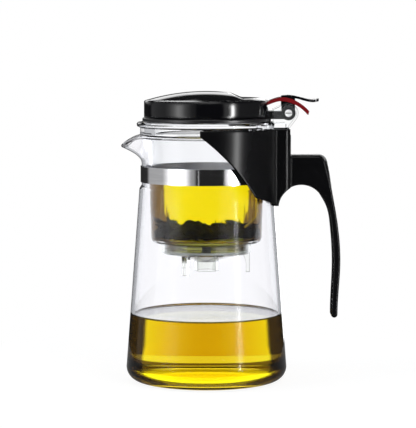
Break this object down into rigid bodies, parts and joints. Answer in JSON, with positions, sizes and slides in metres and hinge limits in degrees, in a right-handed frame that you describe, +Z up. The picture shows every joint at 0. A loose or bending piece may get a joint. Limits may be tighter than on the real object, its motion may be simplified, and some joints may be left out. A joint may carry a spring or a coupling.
{
  "type": "glass teapot",
  "caption": "Tapered glass teapot with a strapped-on open handle, a lift-out clear infuser cup, a hinged domed lid and a thumb lever that drains the brew into the jug.",
  "frame": {"origin": "centre of the jug's foot, on the table", "axes": "+Z up along the jug's axis, +X towards the handle, the pouring lip points along -X"},
  "size_m": [0.1273, 0.0932, 0.1678],
  "materials": {
    "clear_glass": "polished",
    "handle_black": "satin gloss",
    "strap_steel": "polished",
    "screw_steel": "plain",
    "clear_plastic": "clear moulded plastic",
    "guide_plastic": "natural",
    "screen_steel": "perforated",
    "silicone": "translucent silicone",
    "plug_silicone": "silicone",
    "lever_black": "gloss",
    "lid_black": "high gloss",
    "liner_black": "satin",
    "tab_red": "gloss"
  },
  "bodies": {
    "jug": {"glass_pot": "clear_glass", "handle": "handle_black", "steel_strap": "strap_steel", "strap_screw": "screw_steel", "strap_nut": "screw_steel"},
    "infuser": {"infuser_cup": "clear_plastic", "rod_guide": "guide_plastic", "hinge_pin": "screw_steel", "pin_cap": "screw_steel", "filter_screen": "screen_steel", "return_spring": "screw_steel"},
    "filter": {"filter_base": "clear_plastic", "base_seal": "silicone"},
    "lever": {"drain_lever": "lever_black"},
    "valve": {"pull_rod": "screw_steel", "rod_head": "screw_steel", "spring_collar": "screw_steel", "valve_plug": "plug_silicone"},
    "lid": {"lid_cover": "lid_black", "lid_liner": "liner_black", "lid_screws": "screw_steel", "lid_tab": "tab_red"}
  },
  "joints": [
    {"name": "infuser_lift", "type": "slide", "parent": "jug", "child": "infuser", "axis": [0, 0, 1], "range_m": [0, 0.09]},
    {"name": "filter_twist", "type": "hinge", "parent": "infuser", "child": "filter", "pos_m": [0, 0, 0.0774], "axis": [0, 0, 1], "range_deg": [0, 60]},
    {"name": "drain_press", "type": "hinge", "parent": "infuser", "child": "lever", "pos_m": [0.047, 0, 0.1554], "axis": [0, 1, 0], "range_deg": [0, 9.2]},
    {"name": "valve_lift", "type": "slide", "parent": "infuser", "child": "valve", "axis": [0, 0, 1], "range_m": [0, 0.003], "stiffness_N_per_m": 60, "springref_m": -0.002, "deforming": ["return_spring"]},
    {"name": "lid_hinge", "type": "hinge", "parent": "infuser", "child": "lid", "pos_m": [0.047, 0, 0.1554], "axis": [0, 1, 0], "range_deg": [0, 56]}
  ],
  "couplings": [
    {"joint": "drain_press", "follows": "valve_lift", "rad_per_m": 51.02}
  ]
}
